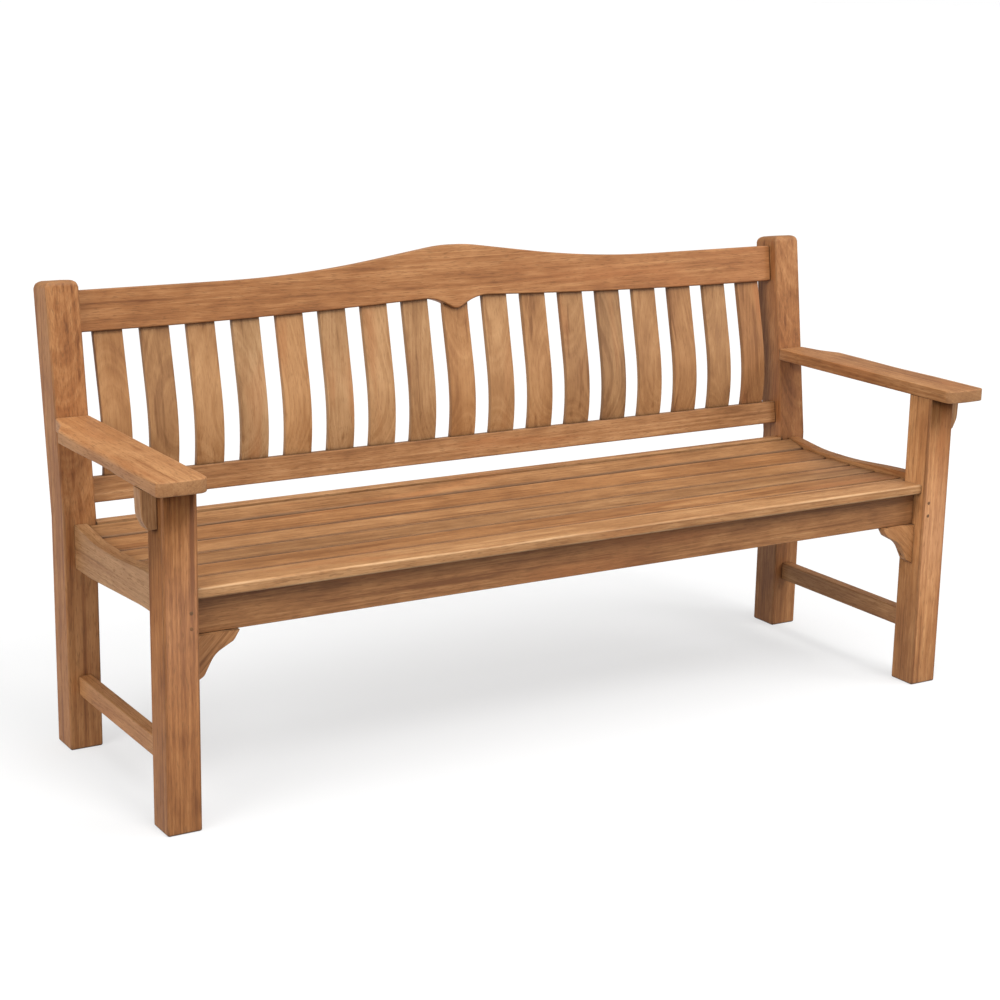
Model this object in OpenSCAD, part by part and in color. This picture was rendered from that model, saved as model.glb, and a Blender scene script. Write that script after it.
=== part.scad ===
// Garden bench with a slatted, raked back and a crested top rail.
// Axes: +X to the right as seen from the front, +Y to the back, +Z up.
// The drawing is laid out from the front face of the front legs (y = 0) and
// is then moved so that the origin is on the ground under the bench's middle.

/* [Frame] */
// Distance across the outer faces of the legs
frame_w = 1739; // [1500:1:1900]
// Width and depth of the square front legs
leg_w = 64; // [58:1:70]
// Distance from the front face of the front legs to the back legs
back_y = 469.5; // [460:0.5:480]
// Depth of the back legs, square to their length
back_leg_d = 69; // [60:1:72]
// Height at which the back legs start to lean
knee_z = 448; // [442:1:455]
// Lean of the back from the vertical, in degrees
rake = 7.8; // [5:0.1:9]
// Height of the back legs, at their front edge
post_h = 884; // [875:1:900]
// Radius of the rounded top corners of the back legs
post_corner_r = 14; // [8:1:20]

/* [Arms] */
// Underside of the armrests above the ground
arm_z = 612.5; // [600:0.5:630]
// Thickness of the armrests
arm_t = 25; // [20:1:30]
// How far the armrests stand out past the outer face of the legs
arm_side = 30.5; // [28:0.5:36]
// How far the armrests reach in front of the front legs
arm_front = 56; // [45:1:65]
// Thickness of the corbels under the armrests
corbel_t = 30; // [24:1:36]
// Height of the corbels
corbel_h = 72; // [65:0.5:80]

/* [Back] */
// Setback of the back rails behind the front face of the back legs
rail_setback = 20; // [16:1:26]
// Thickness of the back rails
rail_t = 28; // [24:1:32]
// Underside of the top rail at its ends
top_rail_low = 784.5; // [775:0.5:795]
// Top of the top rail at its ends
top_rail_high = 861; // [850:1:870]
// Rise of the crest over the ends of the top rail
crest_rise = 44; // [30:0.5:50]
// Underside of the lower back rail
low_rail_low = 470.5; // [466:0.5:480]
// Top of the lower back rail
low_rail_high = 517.5; // [510:0.5:525]
// Number of upright back slats, odd so that one is central
back_slats = 17; // [15:2:19]
// Width of a back slat
back_slat_w = 57.5; // [50:0.5:60]
// Gap between the back legs and the outermost back slats
slat_end_gap = 30.5; // [24:0.5:40]
// Thickness of a back slat
back_slat_t = 12; // [10:1:14]
// Forward bow of the back slats
slat_bow = 14.5; // [8:0.5:18]

/* [Seat] */
// Height of the seat at its front edge
seat_front_z = 433.3; // [425:0.5:440]
// Height of the seat at its back edge
seat_back_z = 438.5; // [428:0.5:439]
// Height of the seat at its lowest line
seat_low_z = 420.5; // [415:0.5:423]
// Thickness of the seat slats
seat_slat_t = 20; // [18:1:22]
// Depth of the front seat slat
front_slat_d = 88.5; // [86:0.5:90]
// Depth of each of the four middle seat slats
seat_slat_d = 75; // [74:0.5:75.5]
// Gap between seat slats
seat_gap = 5.3; // [4:0.1:5.5]
// Top of the side seat rails, at the legs
side_rail_high = 440.5; // [438:0.5:445]
// Dip in the top of the side seat rails
side_rail_dip = 12; // [8:0.5:14]

/* [Under the seat] */
// Thickness of the seat rails and stretchers
under_rail_t = 25; // [22:1:28]
// Height of the front seat rail
front_rail_h = 65.4; // [60:0.2:75]
// Underside of the side and rear seat rails at the back
side_rail_low = 356; // [350:0.5:365]
// Underside of the side stretchers
stretcher_low = 108.5; // [80:0.5:160]
// Height of the side stretchers
stretcher_h = 38; // [30:1:45]
// Length of each edge of the corner brackets
bracket_edge = 84.5; // [80:1:90]
// Thickness of the corner brackets
bracket_t = 20; // [16:1:22]
// Diameter of the pegs through the front seat rail's tenons
peg_d = 7; // [6:1:9]

/* [Hidden] */
middle_slats = 4;
curve_tolerance = 0.02;
far = 1000;

leg_out = frame_w / 2;
leg_in = leg_out - leg_w;
arm_out = leg_out + arm_side;
post_s = (post_h - knee_z) / cos(rake);
post_edge_r = 12;
post_back_y = back_y + (back_leg_d - post_edge_r) * cos(rake) + (post_s - post_edge_r) * sin(rake) + post_edge_r;
depth_middle = (post_back_y - arm_front) / 2;

rail_mid = leg_out - leg_w / 2;
rail_out = rail_mid + under_rail_t / 2;
rail_in = rail_mid - under_rail_t / 2;
tenon_t = 10;
tenon_l = 30;
short_tenon_l = 23;
tenon_shoulder = 10;

last_slat_y = front_slat_d + middle_slats * seat_slat_d + (middle_slats + 1) * seat_gap;
last_slat_d = back_y - 6.5 - last_slat_y;
seat_end_gap = 1.5;
seat_low_y = 312;
seat_back_y = 465;
nose_r = 8;

front_rail_y = 30.5;
front_rail_high = front_slat_z(front_rail_y + under_rail_t) - seat_slat_t;
front_rail_low = front_rail_high - front_rail_h;
bracket_y = front_rail_y - 8;
rear_rail_high = side_rail_high - 1;
side_rail_front_low = side_rail_low + 15;

slat_y = rail_setback + (rail_t - back_slat_t) / 2;
slat_pitch = (2 * (leg_in - slat_end_gap) - back_slat_w) / (back_slats - 1);
slat_housing = 12;
slat_low_s = along(low_rail_high, rail_setback);
bow_s = along(615, rail_setback);
bow_upper_r = 500;

crest_slope = 8.1;
crest_r = 376;
crest_foot_r = 2320;
crest_foot_x = (crest_rise + crest_r * (1 / cos(crest_slope) - 1)) / tan(crest_slope);
arch_x = 421;
arch_r = 15500;
arch_rise = 16;
drop_x = 49;
drop_depth = 27;
drop_shoulder_r = 100;
drop_tip_r = 22;

bearer_x = 300;
bearer_t = 28;
cleat_t = 20;
cleat_h = 34;
bearer_h = 60;

screw_d = 4.5;
screw_head_d = 8.5;
screw_head_l = 3;
screw_bite = 13;
counterbore_d = 9;
round_fn = 48;

teak = [0.70, 0.49, 0.31];
pale_teak = [0.77, 0.56, 0.37];
brown_teak = [0.62, 0.41, 0.25];
peg_brown = [0.50, 0.32, 0.19];
steel = [0.74, 0.75, 0.77];

// ---- Curves ----

// Arc points about a centre, fine enough to stay within the curve tolerance.
function arc_points(centre, r, start, sweep) =
    let (n = max(2, ceil(abs(sweep) / (2 * acos(1 - curve_tolerance / r)))))
    [for (i = [0 : n]) centre + r * [cos(start + sweep * i / n), sin(start + sweep * i / n)]];

// One corner of an outline, rounded with a tangent arc of radius r.
function corner_points(before, at, after, r) =
    let (
        u = (before - at) / norm(before - at),
        v = (after - at) / norm(after - at),
        half = acos(u * v) / 2,
        centre = at + (u + v) / norm(u + v) * r / sin(half),
        start_at = at + u * r / tan(half) - centre,
        turn = cross(u, v) < 0 ? 1 : -1
    )
    arc_points(centre, r, atan2(start_at[1], start_at[0]), turn * (180 - 2 * half));

// Outline through [x, y, radius] corners; a radius of 0 leaves a sharp corner.
function rounded(corners) =
    let (n = len(corners), flat = [for (c = corners) [c[0], c[1]]])
    [for (i = [0 : n - 1])
        each corners[i][2] == 0
            ? [flat[i]]
            : corner_points(flat[(i + n - 1) % n], flat[i], flat[(i + 1) % n], corners[i][2])];

// Dished line of the seat, as a height for each distance behind the front legs' faces.
function seat_z(y) =
    y < seat_low_y
        ? seat_low_z + (seat_front_z - seat_low_z) * pow(1 - y / seat_low_y, 1.5)
        : seat_low_z + (seat_back_z - seat_low_z) * pow((y - seat_low_y) / (seat_back_y - seat_low_y), 3);

// Height of the flat front slat's top.
function front_slat_z(y) =
    seat_z(0) + (seat_z(front_slat_d) - seat_z(0)) * y / front_slat_d;

// Distance up the leaning back for a height, at a depth behind the back legs' front plane.
function along(z, depth) = (z - knee_z + depth * sin(rake)) / cos(rake);

// Underside of the top rail, without its central drop.
function rail_under(x) =
    let (reach = arch_x + arch_r * tan(atan(arch_rise / (arch_x - drop_x)) / 2))
    along(top_rail_low, rail_setback)
        + (x < reach ? arch_r - sqrt(arch_r * arch_r - pow(reach - max(x, drop_x), 2)) : 0);

// Where a back slat enters the top rail.
function slat_top(x) =
    x < back_slat_w
        ? along(top_rail_low, rail_setback) + arch_rise - drop_depth
        : rail_under(x + back_slat_w / 2);

// ---- Placing ----

// From the layout to the finished part, with its origin under its middle.
module placed() {
    translate([0, -depth_middle, 0]) children();
}

// Leaning frame of the back: Y is the depth behind the back legs' front plane, Z runs up it.
module leaning() {
    translate([0, back_y, knee_z]) rotate([-rake, 0, 0]) children();
}

// Left and right copies are mirror images.
module on_side(side) {
    mirror([side < 0 ? 1 : 0, 0, 0]) children();
}

// Board whose side profile, in Y and Z, runs from one X to another.
module side_board(x_from, x_to) {
    translate([x_from, 0, 0])
        rotate([90, 0, 90])
            linear_extrude(x_to - x_from)
                children();
}

// Block between two opposite corners.
module block(low, high) {
    translate(low) cube(high - low);
}

// ---- Tenons, shared by each rail and the mortise it fits ----

module front_rail_tenon() {
    y = front_rail_y + (under_rail_t - tenon_t) / 2;
    block([leg_in, y, front_rail_low + tenon_shoulder],
        [leg_in + short_tenon_l, y + tenon_t, front_rail_high - tenon_shoulder]);
}

module rear_rail_tenon() {
    y = back_y + (under_rail_t - tenon_t) / 2;
    block([leg_in, y, side_rail_low + tenon_shoulder],
        [leg_in + short_tenon_l, y + tenon_t, rear_rail_high - tenon_shoulder]);
}

module side_rail_tenons() {
    x = rail_mid - tenon_t / 2;
    block([x, leg_w - tenon_l, side_rail_front_low + tenon_shoulder],
        [x + tenon_t, leg_w, seat_z(leg_w) - tenon_shoulder / 2]);
    block([x, back_y, side_rail_low + tenon_shoulder],
        [x + tenon_t, back_y + tenon_l, seat_z(back_y) - tenon_shoulder / 2]);
}

module stretcher_tenons() {
    x = rail_mid - tenon_t / 2;
    low = stretcher_low + tenon_shoulder / 2;
    high = stretcher_low + stretcher_h - tenon_shoulder / 2;
    block([x, leg_w - tenon_l, low], [x + tenon_t, leg_w, high]);
    block([x, back_y, low], [x + tenon_t, back_y + tenon_l, high]);
}

module back_rail_tenon(low_z, high_z) {
    y = rail_setback + (rail_t - tenon_t) / 2;
    leaning()
        block([leg_in, y, along(low_z, rail_setback) + tenon_shoulder],
            [leg_in + tenon_l, y + tenon_t, along(high_z, rail_setback) - tenon_shoulder]);
}

module arm_leg_tenon() {
    edge = leg_w / 4;
    block([leg_in + edge, edge, arm_z], [leg_out - edge, leg_w - edge, arm_z + arm_t * 0.6]);
}

module arm_post_tenon() {
    z = arm_z + (arm_t - tenon_t) / 2;
    y = back_y + (arm_z - knee_z) * tan(rake);
    block([leg_in + tenon_shoulder, y - tenon_shoulder / 2, z],
        [leg_out - tenon_shoulder, y + tenon_l, z + tenon_t]);
}

// ---- Fasteners, each also used to cut its own hole ----

module peg(z, clearance) {
    translate([leg_in + 14, -1, z])
        rotate([-90, 0, 0])
            cylinder(h = leg_w - 7 + clearance, d = peg_d + clearance, $fn = round_fn);
}

module pegs(clearance) {
    peg(front_rail_high - 16.5, clearance);
    peg(front_rail_high - 43.5, clearance);
}

// Round-head screw pointing up, with its head's underside at the origin.
module screw(length) {
    translate([0, 0, -screw_head_l]) cylinder(h = screw_head_l, d = screw_head_d, $fn = round_fn);
    cylinder(h = length, d = screw_d, $fn = round_fn);
}

// Middle of each seat slat, front to back.
function slat_middle(i) =
    i == 0 ? front_slat_d * 0.78
    : i == middle_slats + 1 ? last_slat_y + last_slat_d / 2
    : front_slat_d + seat_gap * i + seat_slat_d * (i - 0.5);

module seat_screws_at(x, support_h) {
    for (i = [0 : middle_slats + 1]) {
        y = slat_middle(i);
        head_z = seat_z(y) - seat_slat_t - support_h + 10;
        translate([x, y, head_z]) screw(support_h - 10 + screw_bite);
    }
}

module seat_screw_pockets_at(x, support_h) {
    for (i = [0 : middle_slats + 1]) {
        y = slat_middle(i);
        head_z = seat_z(y) - seat_slat_t - support_h + 10;
        translate([x, y, head_z - far]) cylinder(h = far, d = counterbore_d, $fn = round_fn);
        translate([x, y, head_z]) cylinder(h = support_h - 10 + screw_bite, d = screw_d, $fn = round_fn);
    }
}

module seat_screws() {
    for (side = [-1, 1]) on_side(side) {
        seat_screws_at(rail_in - cleat_t / 2, cleat_h);
        seat_screws_at(bearer_x, bearer_h);
    }
}

// Screws of one corner bracket: one into the leg, one into the front rail.
module bracket_screw_places() {
    far_point = bracket_edge * 0.74;
    y = (front_rail_y + bracket_y + bracket_t) / 2;
    translate([leg_in, y, front_rail_low - far_point]) rotate([0, 90, 0]) children();
    translate([leg_in - far_point, y, front_rail_low]) children();
}

module bracket_screw() {
    translate([0, 0, -10]) screw(34);
}

module bracket_screw_pocket() {
    translate([0, 0, -10]) cylinder(h = 34, d = screw_d, $fn = round_fn);
    translate([0, 0, -10 - bracket_edge]) cylinder(h = bracket_edge, d = counterbore_d, $fn = round_fn);
}

// ---- Legs ----

module front_leg(side) {
    color(teak) placed() on_side(side) difference() {
        union() {
            block([leg_in, 0, 0], [leg_out, leg_w, arm_z]);
            arm_leg_tenon();
        }
        front_rail_tenon();
        side_rail_tenons();
        stretcher_tenons();
        pegs(0.2);
        bracket_screw_places() cylinder(h = 24, d = screw_d, $fn = round_fn);
    }
}

module back_leg_profile() {
    top_y = back_y + post_s * sin(rake);
    polygon(rounded([
        [back_y, 0, 0],
        [back_y + back_leg_d, 0, 0],
        [back_y + back_leg_d, knee_z - back_leg_d * tan(rake / 2), 0],
        [top_y + back_leg_d * cos(rake), post_h - back_leg_d * sin(rake), post_edge_r],
        [top_y, post_h, post_edge_r],
        [back_y, knee_z, 0]
    ]));
}

module back_leg(side) {
    color(brown_teak) placed() on_side(side) difference() {
        intersection() {
            side_board(leg_in, leg_out) back_leg_profile();
            leaning()
                translate([0, far / 2, 0])
                    rotate([90, 0, 0])
                        linear_extrude(far)
                            polygon(rounded([
                                [leg_in, -far, 0],
                                [leg_out, -far, 0],
                                [leg_out, post_s, post_corner_r],
                                [leg_in, post_s, post_corner_r]
                            ]));
        }
        back_rail_tenon(top_rail_low, top_rail_high);
        back_rail_tenon(low_rail_low, low_rail_high);
        rear_rail_tenon();
        side_rail_tenons();
        stretcher_tenons();
        arm_post_tenon();
    }
}

// ---- Arms ----

// Plan of an armrest: shouldered at the back, slightly waisted, round at the front.
module arm_plan() {
    behind = back_y + leg_w;
    polygon(rounded([
        [leg_in, 2.6 - arm_front, 18],
        [(leg_in + arm_out) / 2, -arm_front - 0.4, 180],
        [arm_out - 2, 2.6 - arm_front, 10],
        [arm_out - 1, 90, 300],
        [arm_out - 5, 205, 700],
        [arm_out - 0.5, 320, 600],
        [arm_out + 0.3, 400, 14],
        [leg_out + 10.5, 442, 60],
        [leg_out - 6, behind, 0],
        [leg_in, behind, 0]
    ]));
}

module armrest(side) {
    color(pale_teak) placed() on_side(side) {
        difference() {
            translate([0, 0, arm_z]) linear_extrude(arm_t) arm_plan();
            leaning() block([0, 0, -far], [far, far, far]);
            arm_leg_tenon();
        }
        intersection() {
            arm_post_tenon();
            leaning() block([0, 0, -far], [far, far, far]);
        }
    }
}

module arm_corbel(side) {
    y = (leg_w - corbel_t) / 2;
    color(pale_teak) placed() on_side(side)
        translate([leg_out, y + corbel_t, arm_z])
            rotate([90, 0, 0])
                linear_extrude(corbel_t)
                    polygon(rounded([
                        [0, 0, 0],
                        [0, -corbel_h, 0],
                        [17, -corbel_h, 7],
                        [28, -corbel_h * 0.7, 40],
                        [30, 0, 0]
                    ]));
}

// ---- Back ----

module top_rail() {
    low = along(top_rail_low, rail_setback);
    high = along(top_rail_high, rail_setback);
    peak = crest_foot_x * tan(crest_slope);
    color(teak) placed() {
        difference() {
            leaning()
                translate([0, rail_setback + rail_t, 0])
                    rotate([90, 0, 0])
                        linear_extrude(rail_t)
                            polygon(rounded([
                                [-leg_in, low, 0],
                                [-arch_x, low, arch_r],
                                [-drop_x, low + arch_rise, drop_shoulder_r],
                                [0, low + arch_rise - drop_depth, drop_tip_r],
                                [drop_x, low + arch_rise, drop_shoulder_r],
                                [arch_x, low, arch_r],
                                [leg_in, low, 0],
                                [leg_in, high, 0],
                                [crest_foot_x, high, crest_foot_r],
                                [0, high + peak, crest_r],
                                [-crest_foot_x, high, crest_foot_r],
                                [-leg_in, high, 0]
                            ]));
            for (i = [1 : back_slats]) leaning() slat_head(slat_x(i));
        }
        for (side = [-1, 1]) on_side(side) back_rail_tenon(top_rail_low, top_rail_high);
    }
}

module lower_back_rail() {
    color(brown_teak) placed() {
        difference() {
            leaning()
                block([-leg_in, rail_setback, along(low_rail_low, rail_setback)],
                    [leg_in, rail_setback + rail_t, slat_low_s]);
            for (i = [1 : back_slats]) leaning() slat_foot(slat_x(i));
        }
        for (side = [-1, 1]) on_side(side) back_rail_tenon(low_rail_low, low_rail_high);
    }
}

function slat_x(i) = (i - (back_slats + 1) / 2) * slat_pitch;

// Housed ends of a back slat, inside the top rail and the lower rail.
module slat_head(x) {
    s = slat_top(abs(x));
    block([x - back_slat_w / 2, slat_y, s],
        [x + back_slat_w / 2, slat_y + back_slat_t, rail_under(abs(x)) + slat_housing]);
}

module slat_foot(x) {
    block([x - back_slat_w / 2, slat_y, slat_low_s - slat_housing],
        [x + back_slat_w / 2, slat_y + back_slat_t, slat_low_s]);
}

// Front face of a back slat, bowed forward at lumbar height.
function slat_face(top_s) =
    let (
        rise = bow_s - slat_low_s,
        lower_r = (rise * rise + slat_bow * slat_bow) / (2 * slat_bow),
        run = top_s - bow_s,
        upper_turn = (run - sqrt(run * run - 2 * bow_upper_r * slat_bow)) / bow_upper_r * 180 / PI,
        lower_turn = asin(rise / lower_r)
    )
    concat(
        arc_points([slat_y - slat_bow + lower_r, bow_s], lower_r, 180 + lower_turn, -lower_turn),
        arc_points([slat_y - slat_bow + bow_upper_r, bow_s], bow_upper_r, 180, -upper_turn),
        [[slat_y, top_s]]
    );

module back_slat(i) {
    x = slat_x(i);
    face = slat_face(slat_top(abs(x)));
    back = [for (k = [len(face) - 1 : -1 : 0]) face[k] + [back_slat_t, 0]];
    color(i % 2 == 0 ? teak : pale_teak) placed() leaning() {
        side_board(x - back_slat_w / 2, x + back_slat_w / 2) polygon(concat(face, back));
        slat_head(x);
        slat_foot(x);
    }
}

// ---- Seat ----

// Flat seat board between two distances from the front; its top follows the seat's dish.
module seat_board(from_y, to_y) {
    half = rail_in - seat_end_gap;
    side_board(-half, half)
        polygon([
            [from_y, seat_z(from_y) - seat_slat_t],
            [to_y, seat_z(to_y) - seat_slat_t],
            [to_y, seat_z(to_y)],
            [from_y, seat_z(from_y)]
        ]);
}

module front_seat_board() {
    half = rail_in - seat_end_gap;
    difference() {
        side_board(-half, half)
            polygon(rounded([
                [0, seat_z(0) - seat_slat_t, nose_r],
                [front_slat_d, seat_z(front_slat_d) - seat_slat_t, 0],
                [front_slat_d, seat_z(front_slat_d), 0],
                [0, seat_z(0), nose_r]
            ]));
        for (side = [-1, 1]) on_side(side)
            block([leg_in - seat_end_gap / 2, -1, 0], [leg_out, leg_w + seat_end_gap / 2, far]);
    }
}

module seat_slat(i) {
    from_y = front_slat_d + seat_gap * (i - 1) + seat_slat_d * (i - 2);
    to_y = i == middle_slats + 2 ? last_slat_y + last_slat_d : from_y + seat_slat_d;
    color(i % 2 == 0 ? pale_teak : teak) placed() difference() {
        if (i == 1) front_seat_board();
        if (i > 1) seat_board(from_y, to_y);
        seat_screws();
    }
}

module front_seat_rail() {
    color(brown_teak) placed() {
        difference() {
            block([-leg_in, front_rail_y, front_rail_low],
                [leg_in, front_rail_y + under_rail_t, front_rail_high]);
            for (side = [-1, 1]) on_side(side)
                bracket_screw_places() cylinder(h = 24, d = screw_d, $fn = round_fn);
        }
        for (side = [-1, 1]) on_side(side) difference() {
            front_rail_tenon();
            pegs(0.2);
        }
    }
}

module rear_seat_rail() {
    color(brown_teak) placed() {
        block([-leg_in, back_y, side_rail_low], [leg_in, back_y + under_rail_t, rear_rail_high]);
        for (side = [-1, 1]) on_side(side) rear_rail_tenon();
    }
}

// Dished line of the cleats and bearers, as outline points.
function dished_points(from_y, to_y, offset) =
    let (n = 24)
    [for (i = [0 : n])
        let (y = from_y + (to_y - from_y) * i / n)
        [y, seat_z(y) + offset]];

// Dipped top line of the side seat rails, as outline points.
function dipped_points() =
    let (n = 36)
    [for (i = [0 : n])
        let (y = leg_w + (back_y - leg_w) * i / n)
        [y, side_rail_high - side_rail_dip * (1 - eased((305 - y) / 225) - eased((y - 345) / 147))]];

// Smooth step from 0 to 1.
function eased(t) = (1 - cos(180 * min(1, max(0, t)))) / 2;

module side_seat_rail(side) {
    under = rounded([
        [back_y, side_rail_low, 0],
        [390, side_rail_low, 500],
        [150, side_rail_front_low, 600],
        [leg_w, side_rail_front_low, 0],
        [leg_w, 0, 0],
        [back_y, 0, 0]
    ]);
    color(teak) placed() on_side(side) {
        side_board(rail_in, rail_out)
            difference() {
                polygon(concat(
                    [[back_y, side_rail_low], [leg_w, side_rail_low]],
                    dipped_points()
                ));
                polygon(under);
            }
        side_rail_tenons();
    }
}

module seat_cleat(side) {
    color(brown_teak) placed() on_side(side) difference() {
        side_board(rail_in - cleat_t, rail_in)
            polygon(concat(
                [for (p = dished_points(back_y, leg_w, -seat_slat_t - cleat_h)) p],
                dished_points(leg_w, back_y, -seat_slat_t)
            ));
        seat_screw_pockets_at(rail_in - cleat_t / 2, cleat_h);
    }
}

module seat_bearer(side) {
    front = front_rail_y + under_rail_t;
    color(brown_teak) placed() on_side(side) difference() {
        side_board(bearer_x - bearer_t / 2, bearer_x + bearer_t / 2)
            polygon(concat(
                [for (p = dished_points(back_y, front, -seat_slat_t - bearer_h)) p],
                dished_points(front, back_y, -seat_slat_t)
            ));
        seat_screw_pockets_at(bearer_x, bearer_h);
    }
}

// ---- Stretchers and brackets ----

module side_stretcher(side) {
    color(teak) placed() on_side(side) {
        block([rail_in, leg_w, stretcher_low], [rail_out, back_y, stretcher_low + stretcher_h]);
        stretcher_tenons();
    }
}

module corner_bracket(side) {
    lobe = bracket_edge * 0.87;
    lobe_drop = bracket_edge * 0.21;
    waist = bracket_edge * 0.44;
    color(pale_teak) placed() on_side(side) difference() {
        translate([leg_in, bracket_y + bracket_t, front_rail_low])
            rotate([90, 0, 0])
                linear_extrude(bracket_t)
                    polygon(rounded([
                        [0, 0, 0],
                        [-bracket_edge, 0, 0],
                        [-lobe, -lobe_drop, 12],
                        [-waist, -waist, 45],
                        [-lobe_drop, -lobe, 12],
                        [0, -bracket_edge, 0]
                    ]));
        bracket_screw_places() bracket_screw_pocket();
    }
}

// ---- Fastener groups ----

module tenon_pegs() {
    color(peg_brown) placed() for (side = [-1, 1]) on_side(side) difference() {
        pegs(0);
        block([0, -far, 0], [far, 0, far]);
    }
}

module seat_slat_screws() {
    color(steel) placed() seat_screws();
}

module bracket_screws() {
    color(steel) placed() for (side = [-1, 1]) on_side(side)
        bracket_screw_places() bracket_screw();
}

// ---- Parts ----

front_leg(-1);  // front_leg_left
front_leg(1);  // front_leg_right
back_leg(-1);  // back_leg_left
back_leg(1);  // back_leg_right
armrest(-1);  // armrest_left
armrest(1);  // armrest_right
arm_corbel(-1);  // arm_corbel_left
arm_corbel(1);  // arm_corbel_right
top_rail();
lower_back_rail();
for (i = [1 : back_slats])
    back_slat(i);
for (i = [1 : middle_slats + 2])
    seat_slat(i);
front_seat_rail();
rear_seat_rail();
side_seat_rail(-1);  // side_seat_rail_left
side_seat_rail(1);  // side_seat_rail_right
seat_cleat(-1);  // seat_cleat_left
seat_cleat(1);  // seat_cleat_right
seat_bearer(-1);  // seat_bearer_left
seat_bearer(1);  // seat_bearer_right
side_stretcher(-1);  // side_stretcher_left
side_stretcher(1);  // side_stretcher_right
corner_bracket(-1);  // corner_bracket_left
corner_bracket(1);  // corner_bracket_right
tenon_pegs();
seat_slat_screws();
bracket_screws();
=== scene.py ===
"""Looks of the garden bench: bevelled timber boards in procedural teak, on a pale floor.

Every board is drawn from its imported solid's own flat outline, so it sits where the solid
sits. Lengths are metres. +X is right as seen from the front, +Y is the back, +Z is up.
"""

import math
import random

import bmesh
import bpy
from mathutils import Matrix, Vector


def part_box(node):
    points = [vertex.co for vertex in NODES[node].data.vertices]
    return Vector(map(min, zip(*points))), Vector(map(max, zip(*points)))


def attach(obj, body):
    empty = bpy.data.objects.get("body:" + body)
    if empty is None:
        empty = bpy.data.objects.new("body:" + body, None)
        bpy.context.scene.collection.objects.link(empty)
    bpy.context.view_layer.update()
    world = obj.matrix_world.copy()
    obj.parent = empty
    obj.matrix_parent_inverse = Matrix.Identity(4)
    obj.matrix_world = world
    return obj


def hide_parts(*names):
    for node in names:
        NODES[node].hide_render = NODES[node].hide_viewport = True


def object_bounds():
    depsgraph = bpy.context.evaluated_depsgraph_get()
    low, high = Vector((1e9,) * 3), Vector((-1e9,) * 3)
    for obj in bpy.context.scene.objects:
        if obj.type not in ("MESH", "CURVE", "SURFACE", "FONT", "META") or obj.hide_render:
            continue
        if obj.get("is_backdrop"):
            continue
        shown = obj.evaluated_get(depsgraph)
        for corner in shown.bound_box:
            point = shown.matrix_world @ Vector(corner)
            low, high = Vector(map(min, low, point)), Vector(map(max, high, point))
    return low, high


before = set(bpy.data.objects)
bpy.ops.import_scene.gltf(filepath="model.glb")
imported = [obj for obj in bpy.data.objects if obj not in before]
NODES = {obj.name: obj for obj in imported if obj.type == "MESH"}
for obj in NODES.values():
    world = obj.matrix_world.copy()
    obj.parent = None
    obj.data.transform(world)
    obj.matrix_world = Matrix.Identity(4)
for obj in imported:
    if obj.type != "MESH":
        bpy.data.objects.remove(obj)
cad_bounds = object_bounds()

MM = 0.001
BACK_SLATS = 17
SEAT_SLATS = 6
SIDES = ("left", "right")

# How pale a board is, where it isn't left to chance: 0 and less is dark, 1 is pale.
PALENESS = {
    "front_leg_left": 0.2,
    "front_leg_right": 0.55,
    "back_leg_left": 0.75,
    "back_leg_right": 0.35,
    "side_seat_rail_left": 1.0,
    "side_seat_rail_right": 0.7,
    "armrest_left": 1.0,
    "armrest_right": 0.45,
    "top_rail": 0.55,
    "lower_back_rail": 0.5,
    "front_seat_rail": 0.05,
    "seat_slat_1": 0.75,
    "seat_slat_2": 0.1,
    "seat_slat_3": 0.0,
    "seat_slat_4": 0.2,
    "seat_slat_5": 0.1,
    "seat_slat_6": 0.0,
    "rear_seat_rail": 0.9,
    "side_stretcher_left": 1.2,
    "side_stretcher_right": 0.5,
    "corner_bracket_left": 0.4,
    "corner_bracket_right": 0.9,
    "arm_corbel_left": 0.9,
    "arm_corbel_right": 0.8,
    "back_slat_2": 0.4,
    "back_slat_5": 1.0,
    "back_slat_8": 0.45,
    "back_slat_9": 0.65,
    "back_slat_12": 0.2,
    "back_slat_13": 0.0,
    "back_slat_14": 0.3,
    "back_slat_15": 0.3,
    "back_slat_16": 0.2,
    "back_slat_17": 0.1,
}

# ---------------------------------------------------------------- the bench's main places

leg_low, leg_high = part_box("front_leg_right")
LEG_OUT = leg_high.x
LEG_FRONT = leg_low.y
ARM_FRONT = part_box("armrest_right")[0].y
ARM_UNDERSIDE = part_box("armrest_right")[0].z
POST_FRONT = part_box("back_leg_right")[0].y
POST_TOP = 884 * MM
POST_DEPTH = 69 * MM
POST_CORNER = 14 * MM
POST_TOP_ARRIS = 12 * MM
KNEE = 448 * MM
RAKE = math.radians(7.8)
BACK_RAIL_THICKNESS = 28 * MM
SEAT_THICKNESS = 20 * MM
FRAME_ARRIS = 4 * MM
SMALL_ARRIS = 2.5 * MM
PEG_RADIUS = 3.5 * MM
PEG_SIDES = 24

# Two places closer than this are one place.
SAME = 0.01 * MM
# A face or edge runs along a direction when the cosine between them is over this.
ALONG = 0.9

BACK_NORMAL = Vector((0, -math.cos(RAKE), math.sin(RAKE)))
UP_BACK = Vector((0, math.sin(RAKE), math.cos(RAKE)))
X, Y, Z = Vector((1, 0, 0)), Vector((0, 1, 0)), Vector((0, 0, 1))


# ---------------------------------------------------------------- shapes


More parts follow.
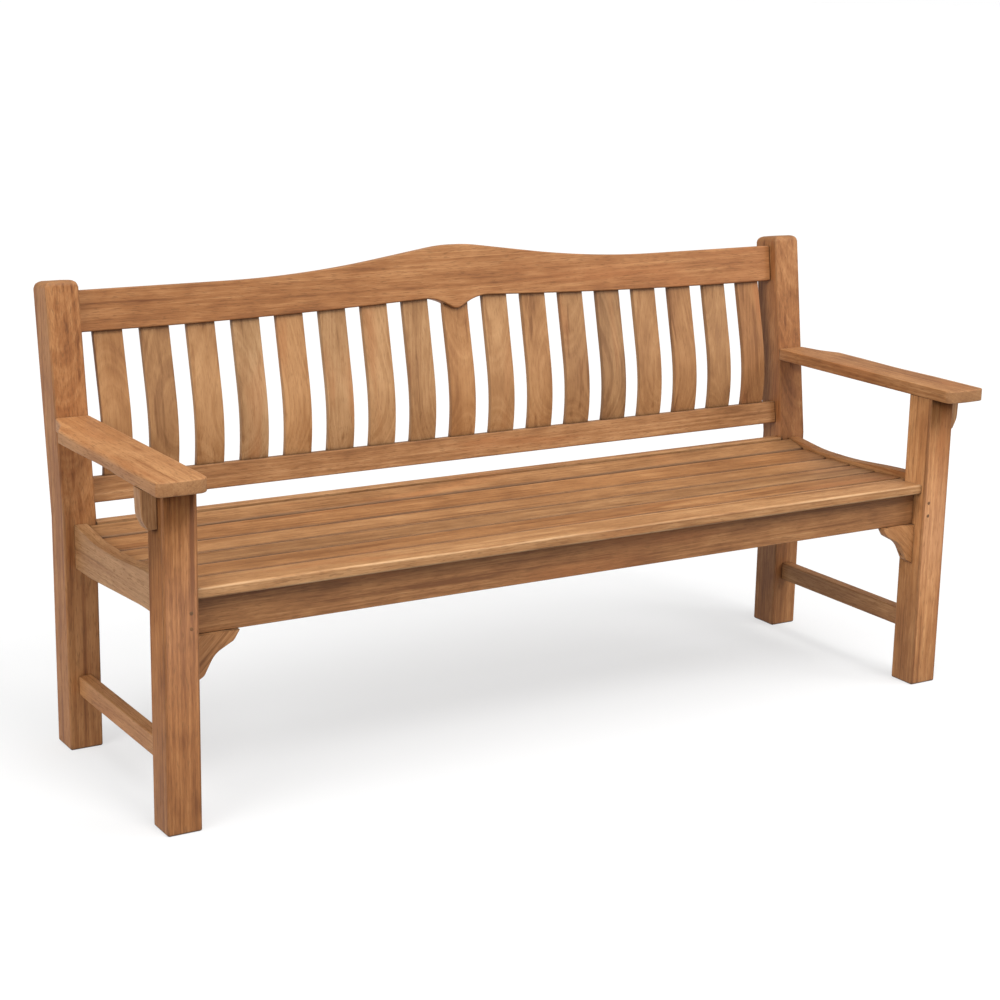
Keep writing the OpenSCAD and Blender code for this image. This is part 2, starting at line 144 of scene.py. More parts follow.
def flat_outline(node, normal):
    """Corner points, in order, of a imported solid's outermost flat face that looks along normal."""
    bm = bmesh.new()
    bm.from_mesh(NODES[node].data)
    bmesh.ops.remove_doubles(bm, verts=bm.verts, dist=SAME)
    bm.normal_update()
    facing = [f for f in bm.faces if f.normal.dot(normal) > 0.9995]
    reach = max(f.calc_center_median().dot(normal) for f in facing)
    flat = {f for f in facing if reach - f.calc_center_median().dot(normal) < 0.1 * MM}
    following = {}
    for f in flat:
        for loop in f.loops:
            others = [g for g in loop.edge.link_faces if g in flat]
            if len(others) == 1:
                following[loop.vert] = loop.link_loop_next.vert
    start = next(iter(following))
    points, at = [start.co.copy()], following[start]
    while at is not start:
        points.append(at.co.copy())
        at = following[at]
    bm.free()
    return without_straight(points)


def without_straight(points):
    """The outline without the points that lie on a straight stretch."""
    kept = []
    for i, p in enumerate(points):
        before = (p - points[i - 1]).normalized()
        after = (points[(i + 1) % len(points)] - p).normalized()
        if before.angle(after, 0) > math.radians(0.02):
            kept.append(p)
    return kept


def prism(outline, depth):
    """A closed solid from an outline and a vector through its thickness."""
    bm = bmesh.new()
    near = [bm.verts.new(p) for p in outline]
    far = [bm.verts.new(p + depth) for p in outline]
    bm.faces.new(near)
    bm.faces.new(list(reversed(far)))
    for i in range(len(near)):
        j = (i + 1) % len(near)
        bm.faces.new((near[j], near[i], far[i], far[j]))
    bmesh.ops.recalc_face_normals(bm, faces=bm.faces)
    return bm


def block(low, high):
    """A box between two corners."""
    outline = [Vector((low[0], low[1], low[2])), Vector((high[0], low[1], low[2]))]
    outline += [Vector((high[0], high[1], low[2])), Vector((low[0], high[1], low[2]))]
    return prism(outline, Vector((0, 0, high[2] - low[2])))


def smooth(t):
    """Smooth step from 0 to 1."""
    t = max(0.0, min(1.0, t))
    return t * t * (3 - 2 * t)


def inward_directions(outline, down):
    """For each outline point, the way into the board that moves both its edges in by one."""
    inward = []
    for i, p in enumerate(outline):
        before = (p - outline[i - 1]).normalized()
        after = (outline[(i + 1) % len(outline)] - p).normalized()
        normal = down.cross(before) + down.cross(after)
        inward.append(normal / max(0.5, normal.length_squared / 2))
    middle = sum(outline, Vector()) / len(outline)
    side = sum((middle - p).dot(n) for p, n in zip(outline, inward))
    if side < 0:
        inward = [-n for n in inward]
    return inward


def rolled_board(outline, depth, near_radius, far_radius, steps=6):
    """A board whose long arrises are quarter rounds; near_radius(point) may change along it."""
    down = depth.normalized()
    inward = inward_directions(outline, down)
    bm = bmesh.new()
    rings = []
    for k in range(steps + 1):
        a = math.pi / 2 * k / steps
        ring = []
        for p, n in zip(outline, inward):
            r = near_radius(p)
            at = p + n * r * (1 - math.sin(a)) + down * r * (1 - math.cos(a))
            ring.append(bm.verts.new(at))
        rings.append(ring)
    for k in range(steps + 1):
        a = math.pi / 2 * k / steps
        shift = depth - down * far_radius * (1 - math.sin(a))
        inset = far_radius * (1 - math.cos(a))
        rings.append([bm.verts.new(p + shift + n * inset) for p, n in zip(outline, inward)])
    for a, b in zip(rings, rings[1:]):
        for i in range(len(outline)):
            bm.faces.new((a[i - 1], a[i], b[i], b[i - 1]))
    bm.faces.new(rings[0])
    bm.faces.new(list(reversed(rings[-1])))
    bmesh.ops.recalc_face_normals(bm, faces=bm.faces)
    return bm


def new_piece(name, mesh):
    """An object in the scene from a mesh, light or camera."""
    piece = bpy.data.objects.new(name, mesh)
    bpy.context.scene.collection.objects.link(piece)
    return piece


def rounded_mesh(bm, name, arris):
    """The solid with its sharp arrises rounded. arris(edge) gives each sharp edge's radius."""
    sharp = [
        e
        for e in bm.edges
        if len(e.link_faces) == 2 and e.calc_face_angle(0) > math.radians(20)
    ]
    radii = {e.index: 0.0 for e in bm.edges}
    bm.edges.index_update()
    for e in sharp:
        radii[e.index] = arris(e)
    widest = max(radii.values())
    mesh = bpy.data.meshes.new(name)
    bm.to_mesh(mesh)
    bm.free()
    for polygon in mesh.polygons:
        polygon.use_smooth = True
    if widest == 0:
        return mesh
    weights = mesh.attributes.new("bevel_weight_edge", "FLOAT", "EDGE")
    for i in range(len(mesh.edges)):
        weights.data[i].value = radii[i] / widest
    for label in ("flat", "arris"):
        mesh.materials.append(bpy.data.materials.new(f"{name}_{label}"))
    carrier = new_piece(name + "_carrier", mesh)
    bevel = carrier.modifiers.new("arris", "BEVEL")
    bevel.limit_method = "WEIGHT"
    bevel.width = widest
    bevel.segments = 4
    bevel.use_clamp_overlap = False
    bevel.harden_normals = True
    bevel.material = 1
    view = bpy.context.evaluated_depsgraph_get()
    rounded = bpy.data.meshes.new_from_object(carrier.evaluated_get(view))
    bpy.data.objects.remove(carrier)
    return rounded


def mark_grain(mesh, grain, face, seed, paleness):
    """Stores what the wood shader reads: place in the log, end grain, arris and board tone."""
    draw = random.Random(seed)
    across = grain.cross(face).normalized()
    face = across.cross(grain).normalized()
    pith_face = draw.choice((-1, 1)) * draw.uniform(0.06, 0.16)
    pith_across = draw.uniform(-0.09, 0.09)
    lean_face = draw.uniform(-0.010, 0.010)
    lean_across = draw.uniform(-0.010, 0.010)
    along_start = draw.uniform(0, 60)
    tone = [draw.uniform(0, 1), draw.uniform(0, 1), draw.uniform(0, 1)]
    if paleness is not None:
        tone[0] = paleness
    centre = sum((v.co for v in mesh.vertices), Vector()) / len(mesh.vertices)
    rounded_off = [1.0] * len(mesh.vertices)
    for polygon in mesh.polygons:
        if polygon.material_index == 0:
            for i in polygon.vertices:
                rounded_off[i] = 0.0
    places = []
    for v in mesh.vertices:
        at = v.co - centre
        along = at.dot(grain)
        places.append(along + along_start)
        places.append(at.dot(across) + pith_across + lean_across * along)
        places.append(at.dot(face) + pith_face + lean_face * along)
    ends = []
    for polygon in mesh.polygons:
        facing = abs(polygon.normal.dot(grain))
        ends.append(min(1.0, max(0.0, (facing - 0.45) / 0.4)))
        polygon.material_index = 0
    store(mesh, "grain_place", "FLOAT_VECTOR", "POINT", "vector", places)
    store(mesh, "arris", "FLOAT", "POINT", "value", rounded_off)
    store(mesh, "end_grain", "FLOAT", "FACE", "value", ends)
    store(mesh, "board_tone", "FLOAT_VECTOR", "FACE", "vector", tone * len(mesh.polygons))


def store(mesh, name, kind, domain, field, values):
    """Adds a named attribute and fills it."""
    mesh.attributes.new(name, kind, domain)
    mesh.attributes[name].data.foreach_set(field, values)


def board(node, bm, grain, face, seed, material, arris=lambda e: FRAME_ARRIS):
    """A rounded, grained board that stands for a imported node."""
    mesh = rounded_mesh(bm, node + "_board", arris)
    mark_grain(mesh, grain, face, seed, PALENESS.get(node))
    mesh.materials.clear()
    mesh.materials.append(material)
    piece = new_piece(node + "_timber", mesh)
    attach(piece, "root")
    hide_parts(node)
    return piece


def edge_runs_along(edge, direction):
    """Whether a straight edge runs along a direction, either way."""
    return abs((edge.verts[1].co - edge.verts[0].co).normalized().dot(direction)) > ALONG


def edge_middle(edge):
    """The middle of a straight edge."""
    return (edge.verts[0].co + edge.verts[1].co) / 2


# ---------------------------------------------------------------- shader helpers

# Painted edge shade, and on the front slat a painted edge highlight: the colour on a board's rounded
# edge, and the least and most of it.
PAINTED_EDGE_SHADE = ((0.20, 0.095, 0.036, 1), 0.0, 0.55)
SEAT_PAINTED_EDGE_SHADE = ((0.13, 0.060, 0.024, 1), 0.20, 0.80)
PAINTED_EDGE_HIGHLIGHT = ((0.60, 0.385, 0.205, 1), 0.0, 0.55)
# Painted shade in joints and gaps: the share of open air round a place where it starts, where it is
# darkest, and how dark.
LIGHT_PAINTED_SHADE = (0.60, 0.10, 0.75)
SEAT_PAINTED_SHADE = (0.68, 0.20, 0.85)
BACK_PAINTED_SHADE = (0.78, 0.46, 0.95)
# How far the painted shade of a corner or gap reaches into the wood round it.
PAINTED_SHADE_REACH = 0.022

BLUSH_RED = (0.40, 0.145, 0.046, 1)
KNOT_BROWN = (0.20, 0.085, 0.035, 1)
PORE_BROWN = (0.16, 0.072, 0.026, 1)
END_BROWN = (0.27, 0.138, 0.058, 1)
# The colour of the painted shade in joints, grooves and gaps.
PAINTED_SHADE_BROWN = (0.050, 0.022, 0.009, 1)


class Graph:
    """Adds and links shader nodes with one call each."""

    def __init__(self, material):
        material.use_nodes = True
        self.tree = material.node_tree
        self.tree.nodes.clear()

    def add(self, kind, inputs=None, **settings):
        """A new shader node; an input is a value, or a socket to link from."""
        node = self.tree.nodes.new(kind)
        for key, value in settings.items():
            setattr(node, key, value)
        for key, value in (inputs or {}).items():
            if isinstance(value, bpy.types.NodeSocket):
                self.tree.links.new(value, node.inputs[key])
            else:
                node.inputs[key].default_value = value
        return node

    def math(self, operation, a, b=0.0, c=0.0):
        """One sum: the result of an operation on up to three numbers."""
        return self.add("ShaderNodeMath", {0: a, 1: b, 2: c}, operation=operation).outputs[0]

    def scaled(self, vector, scale):
        """A vector times a scale along each axis."""
        node = self.add("ShaderNodeVectorMath", {0: vector, 1: scale}, operation="MULTIPLY")
        return node.outputs[0]

    def noise(self, vector, detail=2.0, roughness=0.5, distortion=0.0):
        """Soft noise whose features are about one unit of the vector across."""
        inputs = {"Vector": vector, "Scale": 1.0, "Detail": detail}
        inputs.update({"Roughness": roughness, "Distortion": distortion})
        return self.add("ShaderNodeTexNoise", inputs).outputs["Fac"]

    def remap(self, value, low, high, to_low=0.0, to_high=1.0):
        """A value moved from one range to another and held inside it."""
        inputs = {"Value": value, "From Min": low, "From Max": high}
        inputs.update({"To Min": to_low, "To Max": to_high})
        return self.add("ShaderNodeMapRange", inputs, clamp=True).outputs[0]

    def mix(self, factor, a, b, blend="MIX"):
        """Colour a with a share of colour b over it."""
        node = self.add("ShaderNodeMix", data_type="RGBA", blend_type=blend)
        for key, value in ((0, factor), (6, a), (7, b)):
            if isinstance(value, bpy.types.NodeSocket):
                self.tree.links.new(value, node.inputs[key])
            else:
                node.inputs[key].default_value = value
        return node.outputs[2]

    def ramp(self, value, stops):
        """A colour picked along a row of stops."""
        node = self.add("ShaderNodeValToRGB", {"Fac": value})
        elements = node.color_ramp.elements
        while len(elements) < len(stops):
            elements.new(0.5)
        for element, (place, colour) in zip(elements, stops):
            element.position = place
            element.color = (*colour, 1)
        return node.outputs["Color"]


def teak_material(name, dark, middle, light, red, coarseness=1.0, edge=PAINTED_EDGE_SHADE, painted_shade=LIGHT_PAINTED_SHADE):
    """Planed teak: fine straight fibre, short dark pores, soft rings, streaks and a few knots.

    coarseness scales the fine grain; edge sets the painted shade on rounded edges (a painted highlight
    on the front slat), and the last argument sets the painted shade in joints and gaps.
    """
    material = bpy.data.materials.new(name)
    g = Graph(material)
    place = g.add("ShaderNodeAttribute", attribute_name="grain_place").outputs["Vector"]
    tone = g.add("ShaderNodeAttribute", attribute_name="board_tone").outputs["Vector"]
    arris = g.add("ShaderNodeAttribute", attribute_name="arris").outputs["Fac"]
    end = g.add("ShaderNodeAttribute", attribute_name="end_grain").outputs["Fac"]
    tones = g.add("ShaderNodeSeparateXYZ", {0: tone}).outputs
    parts = g.add("ShaderNodeSeparateXYZ", {0: place}).outputs

    # Knots push the rings aside.
    knot = g.add(
        "ShaderNodeTexVoronoi",
        {"Vector": g.scaled(place, (1.3, 5.0, 5.0)), "Scale": 1.0, "Randomness": 1.0},
        feature="F1",
    ).outputs["Distance"]
    near_knot = g.math("POWER", g.remap(knot, 0.20, 0.02), 2.0)

    # Distance from the pith, slightly wavy, gives the rings.
    squares = g.math("ADD", g.math("POWER", parts[1], 2.0), g.math("POWER", parts[2], 2.0))
    from_pith = g.math("SQRT", squares)
    wave = g.noise(g.scaled(place, (1.5, 6.0, 6.0)), detail=2.0, roughness=0.45)
    ring_place = g.math("MULTIPLY_ADD", wave, 0.009, from_pith)
    ring_place = g.math("MULTIPLY_ADD", near_knot, 0.010, ring_place)
    ring_count = g.math("MULTIPLY", ring_place, 260.0)
    bands = g.add(
        "ShaderNodeTexNoise",
        {"W": ring_count, "Scale": 1.0, "Detail": 3.0, "Roughness": 0.6},
        noise_dimensions="1D",
    ).outputs["Fac"]

    # Fibre along the board, at three widths, and slow changes of colour.
    fibre = g.noise(g.scaled(place, (24.0, 620.0, 620.0)), detail=3.0, roughness=0.66)
    streak = g.noise(g.scaled(place, (5.0, 150.0, 150.0)), detail=3.0, roughness=0.6)
    broad = g.noise(g.scaled(place, (2.4, 20.0, 20.0)), detail=2.0)
    mottle = g.noise(g.scaled(place, (15.0, 36.0, 36.0)), detail=3.0)
    pores = g.remap(g.noise(g.scaled(place, (55.0, 480.0, 480.0)), detail=1.5), 0.56, 0.68)
    vein = g.remap(g.noise(g.scaled(place, (1.3, 80.0, 80.0)), detail=2.0), 0.58, 0.72)

    # How much each pattern adds to a place's paleness, and the spread that the colours cover.
    weights = (
        (bands, 0.40),
        (streak, 0.50 * coarseness),
        (fibre, 0.62 * coarseness),
        (broad, 0.50),
        (mottle, 0.46),
        (vein, -0.26),
        (tones[0], 0.30),
    )
    shade = 0.0
    for pattern, weight in weights:
        shade = g.math("MULTIPLY_ADD", pattern, weight, shade)
    middle_shade = 0.81 + 0.56 * coarseness
    spread = 0.32
    shade = g.remap(shade, middle_shade - spread, middle_shade + spread)
    colour = g.ramp(shade, ((0.0, dark), (0.5, middle), (1.0, light)))
    colour = g.mix(g.math("MULTIPLY", tones[1], 0.45), colour, (*red, 1), "SOFT_LIGHT")

    # Reddish patches, knots, pores, end grain, and painted shade on rounded edges (a painted highlight
    # on the front slat).
    patches = g.noise(g.scaled(place, (2.1, 15.0, 15.0)), detail=2.5, distortion=0.5)
    blush = g.remap(patches, 0.58, 0.72)
    knot_ring = g.remap(knot, 0.085, 0.025)
    colour = g.mix(g.math("MULTIPLY", blush, 0.42), colour, BLUSH_RED)
    colour = g.mix(g.math("MULTIPLY", knot_ring, 0.62), colour, KNOT_BROWN)
    colour = g.mix(g.math("MULTIPLY", pores, 0.46 * coarseness), colour, PORE_BROWN)
    colour = g.mix(g.math("MULTIPLY", end, 0.36), colour, END_BROWN)
    # Painted shade on rounded edges; on the front slat a painted highlight instead.
    painted_edge_light_and_shade = g.math("MULTIPLY", arris, g.remap(streak, 0.40, 0.65, edge[1], edge[2]))
    colour = g.mix(painted_edge_light_and_shade, colour, edge[0])

    # Painted shade: ambient occlusion darkens the joints, the grooves at rounded edges and the gaps
    # between boards.
    air = g.add("ShaderNodeAmbientOcclusion", {"Distance": PAINTED_SHADE_REACH}, samples=6)
    open_air = air.outputs["AO"]
    joint_shade = g.remap(open_air, painted_shade[0], painted_shade[1], 0.0, painted_shade[2])
    # Painted shade in the groove where a rounded edge meets another board.
    groove_shade = g.math("MULTIPLY", arris, g.remap(open_air, 0.88, 0.45, 0.0, 0.85))
    colour = g.mix(g.math("MAXIMUM", joint_shade, groove_shade), colour, PAINTED_SHADE_BROWN)

    rough = g.math("MULTIPLY_ADD", fibre, 0.16, 0.47)
    rough = g.math("MULTIPLY_ADD", pores, 0.12, rough)
    height = g.math("MULTIPLY_ADD", pores, -0.8, g.math("MULTIPLY", fibre, 0.6))
    bump = g.add(
        "ShaderNodeBump", {"Strength": 0.40, "Distance": 0.0006, "Height": height}
    ).outputs["Normal"]
    surface = g.add(
        "ShaderNodeBsdfPrincipled",
        {"Base Color": colour, "Roughness": rough, "Normal": bump, "Specular IOR Level": 0.32},
    )
    g.add("ShaderNodeOutputMaterial", {"Surface": surface.outputs[0]})
    return material


def steel_material():
    """Satin stainless steel with fine turning marks."""
    material = bpy.data.materials.new("stainless_steel")
    g = Graph(material)
    place = g.add("ShaderNodeTexCoord").outputs["Object"]
    marks = g.noise(g.scaled(place, (900.0, 900.0, 900.0)), detail=3.0)
    cloud = g.noise(g.scaled(place, (60.0, 60.0, 60.0)), detail=2.0)
    colour = g.ramp(cloud, ((0.2, (0.50, 0.50, 0.52)), (0.8, (0.68, 0.69, 0.71))))
    bump = g.add("ShaderNodeBump", {"Strength": 0.2, "Distance": 0.0001, "Height": marks})
    surface = g.add(
        "ShaderNodeBsdfPrincipled",
        {
            "Base Color": colour,
            "Metallic": 1.0,
            "Roughness": g.remap(marks, 0.3, 0.7, 0.28, 0.45),
            "Normal": bump.outputs["Normal"],
        },
    )
    g.add("ShaderNodeOutputMaterial", {"Surface": surface.outputs[0]})
    return material


# Each wood's dark, middle and light tone, and the red that warms some boards.
FRAME_COLOURS = (0.165, 0.066, 0.022), (0.320, 0.150, 0.056), (0.480, 0.262, 0.118), (0.54, 0.30, 0.13)
SEAT_COLOURS = (0.190, 0.086, 0.030), (0.350, 0.182, 0.076), (0.500, 0.292, 0.142), (0.52, 0.31, 0.14)
BACK_COLOURS = (0.200, 0.093, 0.035), (0.345, 0.185, 0.078), (0.485, 0.290, 0.141), (0.52, 0.31, 0.15)
PEG_COLOURS = (0.045, 0.020, 0.009), (0.080, 0.037, 0.016), (0.140, 0.070, 0.032), (0.50, 0.28, 0.15)

FRAME_TEAK = teak_material("frame_teak", *FRAME_COLOURS)
# The seat slats' edges get painted shade, the front slat's a painted highlight.
SLAT_TEAK = teak_material("slat_teak", *SEAT_COLOURS, edge=SEAT_PAINTED_EDGE_SHADE, painted_shade=SEAT_PAINTED_SHADE)
NOSE_TEAK = teak_material("front_slat_teak", *SEAT_COLOURS, edge=PAINTED_EDGE_HIGHLIGHT, painted_shade=SEAT_PAINTED_SHADE)
BACK_TEAK = teak_material("back_slat_teak", *BACK_COLOURS, coarseness=0.55, painted_shade=BACK_PAINTED_SHADE)
PEG_TEAK = teak_material("peg_teak", *PEG_COLOURS)
STEEL = steel_material()

# ---------------------------------------------------------------- legs


def front_leg(side, seed):
    """A square leg up to the arm's underside."""
    name = "front_leg_" + side
    low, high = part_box(name)

    def arris(edge):
        at_arm = edge.verts[0].co.z > ARM_UNDERSIDE / 2
        return 0.0 if at_arm and not edge_runs_along(edge, Z) else FRAME_ARRIS

    bm = block(low, (high.x, high.y, ARM_UNDERSIDE))
    board(name, bm, Z, Y, seed, FRAME_TEAK, arris)


def back_leg(side, seed):
    """A leg that leans back above the knee, with a well rounded top."""
    name = "back_leg_" + side
    low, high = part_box(name)
    top_front = POST_FRONT + (POST_TOP - KNEE) * math.tan(RAKE)
    rear = POST_FRONT + POST_DEPTH
    profile = [
        (POST_FRONT, 0),
        (rear, 0),
        (rear, KNEE - POST_DEPTH * math.tan(RAKE / 2)),
        (top_front + POST_DEPTH * math.cos(RAKE), POST_TOP - POST_DEPTH * math.sin(RAKE)),
        (top_front, POST_TOP),
        (POST_FRONT, KNEE),
    ]
    bm = prism([Vector((low.x, y, z)) for y, z in profile], X * (high.x - low.x))

    def arris(edge):
        if edge_middle(edge).z > POST_TOP - POST_TOP_ARRIS:
            return POST_TOP_ARRIS if edge_runs_along(edge, X) else POST_CORNER
        return FRAME_ARRIS

    board(name, bm, Z, Y, seed, FRAME_TEAK, arris)


for i, side in enumerate(SIDES):
    front_leg(side, 11 + i)
    back_leg(side, 21 + i)

# ---------------------------------------------------------------- arms


def armrest(side, seed):
    """An arm whose top arris rolls over along its outer edge, more so on the left arm, rounded further
    by wear.
    """
    name = "armrest_" + side
    low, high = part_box(name)
    rolled = 9 * MM if side == "left" else 4 * MM

    def top_radius(at):
        past_leg = smooth((abs(at.x) - LEG_OUT) / (20 * MM))
        past_front = smooth((at.y - ARM_FRONT) / (40 * MM))
        near_post = smooth((at.y - POST_FRONT + 190 * MM) / (120 * MM))
        share = past_leg * past_front * (1 - 0.6 * near_post)
        return SMALL_ARRIS + (rolled - SMALL_ARRIS) * share

    bm = rolled_board(flat_outline(name, Z), Z * (low.z - high.z), top_radius, SMALL_ARRIS)
    board(name, bm, Y, Z, seed, FRAME_TEAK)


def arm_corbel(side, seed):
    """The small shaped block below an arm, outside the front leg."""
    name = "arm_corbel_" + side
    low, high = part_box(name)
    bm = prism(flat_outline(name, -Y), Y * (high.y - low.y))
    board(name, bm, Z, Y, seed, FRAME_TEAK, lambda e: 2 * MM)


for i, side in enumerate(SIDES):
    armrest(side, 31 + i)
    arm_corbel(side, 41 + i)

# ---------------------------------------------------------------- back


def back_rail(name, seed, radius):
    """A rail that leans with the back."""
    bm = prism(flat_outline(name, BACK_NORMAL), -BACK_NORMAL * BACK_RAIL_THICKNESS)
    board(name, bm, X, BACK_NORMAL, seed, FRAME_TEAK, lambda e: radius)


def back_slat(number):
    """A bowed slat, its ends hidden in the rails."""
    name = f"back_slat_{number}"
    low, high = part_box(name)
    bm = prism(flat_outline(name, X), -X * (high.x - low.x))

    def arris(edge):
        return 0.0 if edge_runs_along(edge, X) else 1.5 * MM

    board(name, bm, UP_BACK, BACK_NORMAL, 100 + number, BACK_TEAK, arris)


back_rail("top_rail", 54, 3 * MM)
back_rail("lower_back_rail", 52, SMALL_ARRIS)
for number in range(1, BACK_SLATS + 1):
    back_slat(number)

# ---------------------------------------------------------------- seat


def seat_normal(name):
    """Upward normal of a seat board's largest top face."""
    faces = [p for p in NODES[name].data.polygons if p.normal.z > ALONG]
    return max(faces, key=lambda p: p.area).normal.copy()


def seat_slat(number):
    """A seat board from its plan, tilted to follow the dish of the seat."""
    name = f"seat_slat_{number}"
    bm = prism(flat_outline(name, seat_normal(name)), -Z * SEAT_THICKNESS)

    def arris(edge):
        if not edge_runs_along(edge, X):
            return 2 * MM
        return 5 * MM if edge_middle(edge).y < LEG_FRONT + MM else 4.5 * MM

    material = NOSE_TEAK if number == 1 else SLAT_TEAK
    board(name, bm, X, Z, 200 + number, material, arris)


for number in range(1, SEAT_SLATS + 1):
    seat_slat(number)


def long_rail(name, seed):
    """An upright rail that runs across the bench."""
    low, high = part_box(name)
    bm = prism(flat_outline(name, -Y), Y * (high.y - low.y))
    board(name, bm, X, Y, seed, FRAME_TEAK, lambda e: 1.5 * MM)


long_rail("front_seat_rail", 61)
long_rail("rear_seat_rail", 62)


def side_member(name, side, seed, radius):
    """An upright board that runs from a front leg to a back leg."""
    low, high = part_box(name)
    normal = -X if side == "left" else X
    bm = prism(flat_outline(name, normal), -normal * (high.x - low.x))
    board(name, bm, Y, X, seed, FRAME_TEAK, lambda e: radius)


for i, side in enumerate(SIDES):
    side_member("side_seat_rail_" + side, side, 71 + i, 2 * MM)
    side_member("side_stretcher_" + side, side, 81 + i, SMALL_ARRIS)

# ---------------------------------------------------------------- pieces with screw holes


def drilled(name, grain, face, seed, radius):
    """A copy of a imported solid, with the edges of its two broad faces rounded."""
    bm = bmesh.new()
    bm.from_mesh(NODES[name].data)
    bmesh.ops.remove_doubles(bm, verts=bm.verts, dist=SAME)
    flat = math.radians(0.1)
    bmesh.ops.dissolve_limit(bm, angle_limit=flat, verts=bm.verts, edges=bm.edges)
    bm.normal_update()
    low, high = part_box(name)
    axis = max(range(3), key=lambda k: abs(face[k]))

    def arris(edge):
        for plane in (low[axis], high[axis]):
            if all(abs(v.co[axis] - plane) < 0.05 * MM for v in edge.verts):
                return radius
        return 0.0

    board(name, bm, grain, face, seed, FRAME_TEAK, arris)


for i, side in enumerate(SIDES):
    lean = 1 if side == "left" else -1
    drilled("corner_bracket_" + side, Vector((lean, 0, 1)).normalized(), Y, 91 + i, 1.2 * MM)
    drilled("seat_cleat_" + side, Y, X, 93 + i, 1.5 * MM)
    drilled("seat_bearer_" + side, Y, X, 95 + i, 1.5 * MM)

# ---------------------------------------------------------------- pegs and screws


def pegs():
    """The visible ends of the flush-cut pegs, each slightly domed."""
    low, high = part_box("tenon_pegs")
    # How far behind the leg's face each ring lies, in millimetres, and its share of the radius.
    dome = ((6.0, 1.0), (0.0, 1.0), (-0.25, 0.92), (-0.45, 0.7), (-0.55, 0.35))
    bm = bmesh.new()
    for x in (low.x + PEG_RADIUS, high.x - PEG_RADIUS):
        for z in (low.z + PEG_RADIUS, high.z - PEG_RADIUS):
            rings = []
            for behind, share in dome:
                ring = []
                for k in range(PEG_SIDES):
                    a = math.tau * k / PEG_SIDES
                    r = share * PEG_RADIUS
                    at = (x + math.cos(a) * r, LEG_FRONT + behind * MM, z + math.sin(a) * r)
                    ring.append(bm.verts.new(at))
                rings.append(ring)
            for a, b in zip(rings, rings[1:]):
                for k in range(PEG_SIDES):
                    bm.faces.new((a[k], a[k - 1], b[k - 1], b[k]))
            bm.faces.new(rings[-1])
            bm.faces.new(list(reversed(rings[0])))
    bmesh.ops.recalc_face_normals(bm, faces=bm.faces)
    board("tenon_pegs", bm, Y, Z, 301, PEG_TEAK, lambda e: 0.0)


pegs()
for name in ("seat_slat_screws", "bracket_screws"):
    for slot in NODES[name].material_slots:
        slot.material = STEEL
    if not NODES[name].material_slots:
        NODES[name].data.materials.append(STEEL)

# ---------------------------------------------------------------- floor, light and camera


def floor():
    """A pale, faintly glowing studio floor that takes shadows but lights nothing."""
    size = 150.0
    mesh = bpy.data.meshes.new("studio_floor")
    corners = [(-size, -size, 0), (size, -size, 0), (size, size, 0), (-size, size, 0)]
    mesh.from_pydata(corners, [], [(0, 1, 2, 3)])
    material = bpy.data.materials.new("pale_floor")
    g = Graph(material)
    surface = g.add(
        "ShaderNodeBsdfPrincipled",
        {
            "Base Color": (0.30, 0.30, 0.30, 1),
            "Roughness": 0.9,
            "Specular IOR Level": 0.1,
            "Emission Color": (1, 1, 1, 1),
            "Emission Strength": 0.62,
        },
    )
    g.add("ShaderNodeOutputMaterial", {"Surface": surface.outputs[0]})
    mesh.materials.append(material)
    plane = new_piece("studio_floor", mesh)
    plane.visible_diffuse = False
    plane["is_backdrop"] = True


def backdrop():
    """A white wall far round the floor, which lights nothing and blocks no light."""
    radius, height, sides = 90.0, 60.0, 48
    bm = bmesh.new()
    rings = []
    for z in (-0.01, height):
        turns = [math.tau * k / sides for k in range(sides)]
        rings.append([bm.verts.new((radius * math.cos(a), radius * math.sin(a), z)) for a in turns])
    for k in range(sides):
        bm.faces.new((rings[0][k - 1], rings[0][k], rings[1][k], rings[1][k - 1]))
    mesh = bpy.data.meshes.new("studio_backdrop")
    bm.to_mesh(mesh)
    bm.free()
    material = bpy.data.materials.new("white_backdrop")
    g = Graph(material)
    glow = g.add("ShaderNodeEmission", {"Color": (1, 1, 1, 1), "Strength": 1.0})
    g.add("ShaderNodeOutputMaterial", {"Surface": glow.outputs[0]})
    mesh.materials.append(material)
    wall = new_piece("studio_backdrop", mesh)
    wall.visible_diffuse = False
    wall.visible_glossy = False
    wall.visible_shadow = False
    wall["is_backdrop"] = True


def aim_lamp(lamp, direction):
    """Turns a lamp to shine along a direction."""
    lamp.rotation_mode = "QUATERNION"
    lamp.rotation_quaternion = Vector(direction).to_track_quat("-Z", "Y")


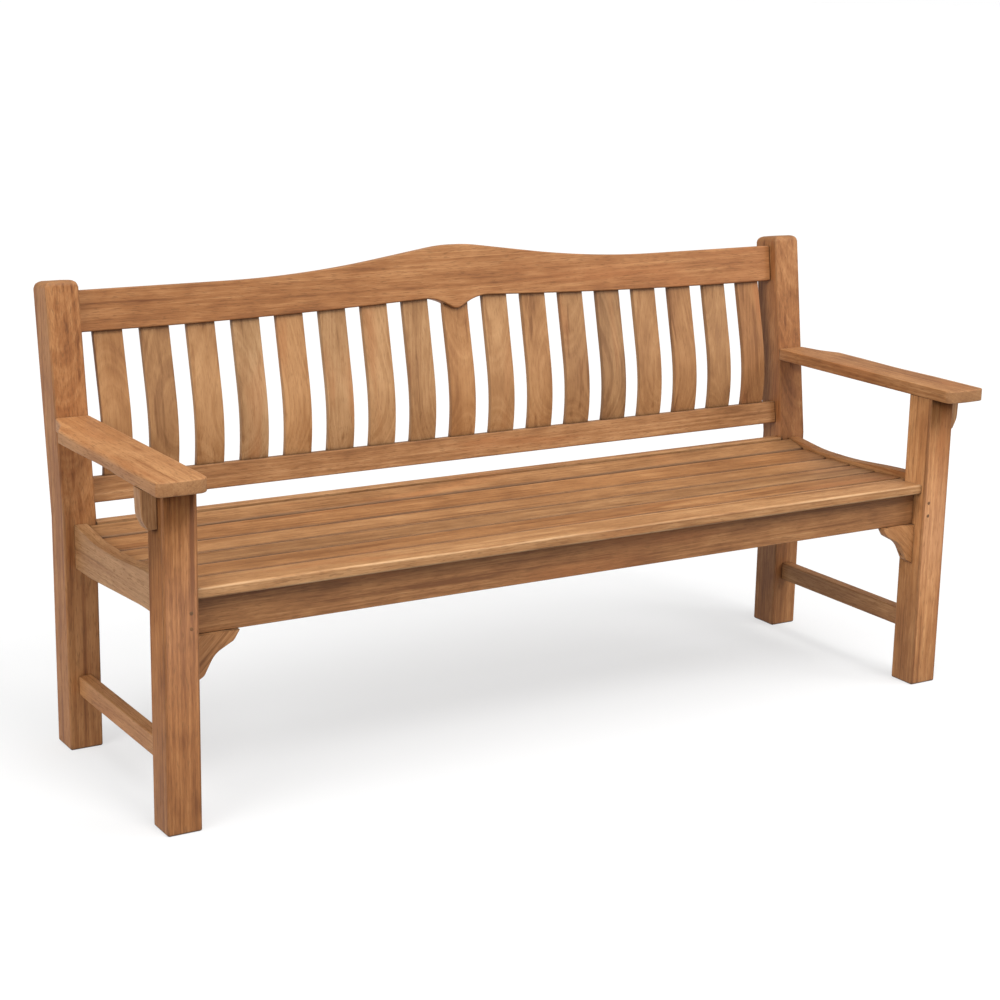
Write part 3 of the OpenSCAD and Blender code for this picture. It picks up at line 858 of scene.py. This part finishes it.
def sun(name, direction, strength, softness):
    """A far studio light that shines along direction; softness is its width in degrees."""
    data = bpy.data.lights.new(name, "SUN")
    data.energy = strength
    data.angle = math.radians(softness)
    aim_lamp(new_piece(name, data), direction)


def softbox(name, place, aim, size, watts):
    """A square studio light at place that points at aim."""
    data = bpy.data.lights.new(name, "AREA")
    data.shape = "SQUARE"
    data.size = size
    data.energy = watts
    lamp = new_piece(name, data)
    lamp.location = place
    aim_lamp(lamp, Vector(aim) - Vector(place))


def sky(strength):
    """An even white light from all round."""
    world = bpy.data.worlds.new("studio")
    bpy.context.scene.world = world
    world.use_nodes = True
    background = world.node_tree.nodes["Background"]
    background.inputs["Color"].default_value = (1, 1, 1, 1)
    background.inputs["Strength"].default_value = strength


def camera():
    """Standing eye height, in front of the bench's left end, with a long lens."""
    eye = Vector((-2.1642, LEG_FRONT - 3.1723, 1.4609))
    yaw, pitch, roll = (math.radians(a) for a in (31.5247, 14.1858, 1.1022))
    ahead = Vector(
        (math.sin(yaw) * math.cos(pitch), math.cos(yaw) * math.cos(pitch), -math.sin(pitch))
    )
    level = Vector((math.cos(yaw), -math.sin(yaw), 0))
    above = level.cross(ahead)
    right = level * math.cos(roll) + above * math.sin(roll)
    up = above * math.cos(roll) - level * math.sin(roll)
    data = bpy.data.cameras.new("camera")
    data.sensor_fit = "HORIZONTAL"
    data.sensor_width = 36
    data.lens = 76.70
    data.clip_end = 400
    holder = new_piece("camera", data)
    turn = Matrix((right, up, -ahead)).transposed().to_4x4()
    holder.matrix_world = Matrix.Translation(eye) @ turn
    bpy.context.scene.camera = holder


floor()
backdrop()
sun("overhead", (0.0, 0.15, -1.0), 1.65, 45)
sun("front_key", (-0.13, 0.75, -1.0), 1.3, 18)
sun("left_fill", (1.0, 0.45, -0.5), 1.7, 35)
sun("low_front_fill", (0.1, 1.0, -0.06), 0.2, 60)
softbox("front_right", (3.0, -2.2, 2.2), (0.5, 0.2, 0.6), 1.4, 48)
sky(0.35)
camera()
bpy.context.scene.view_settings.view_transform = "Standard"

boxes = {"cad": cad_bounds, "visual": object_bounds()}
{key: [list(corner) for corner in box] for key, box in boxes.items()}
